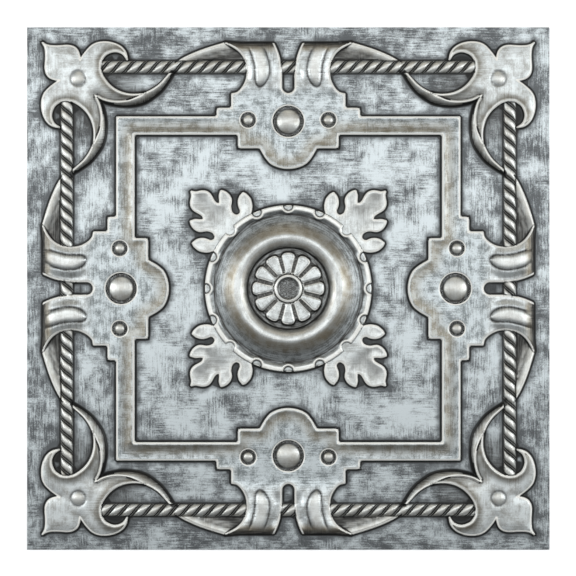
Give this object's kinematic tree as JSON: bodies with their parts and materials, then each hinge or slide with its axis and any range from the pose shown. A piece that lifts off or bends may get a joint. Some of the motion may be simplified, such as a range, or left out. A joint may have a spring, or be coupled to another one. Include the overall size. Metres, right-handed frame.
{
  "type": "ceiling tile",
  "caption": "Square ceiling tile formed from one thin plastic sheet in the style of pressed tin: strapwork, rope, lilies and oak leaves in relief round a medallion, inside a flat margin",
  "frame": {"origin": "Middle of the flat back, which lies on the floor at z = 0", "axes": "+Z leaves the decorated face; +X and +Y run along the tile's edges, with +Y at the top of the picture"},
  "size_m": [0.595, 0.595, 0.013],
  "materials": {
    "formed_sheet": "charcoal sheet dry-brushed with pale silver grey, dark in the hollows and pale on the edges"
  },
  "bodies": {
    "root": {"ceiling_tile": "formed_sheet"}
  },
  "joints": []
}
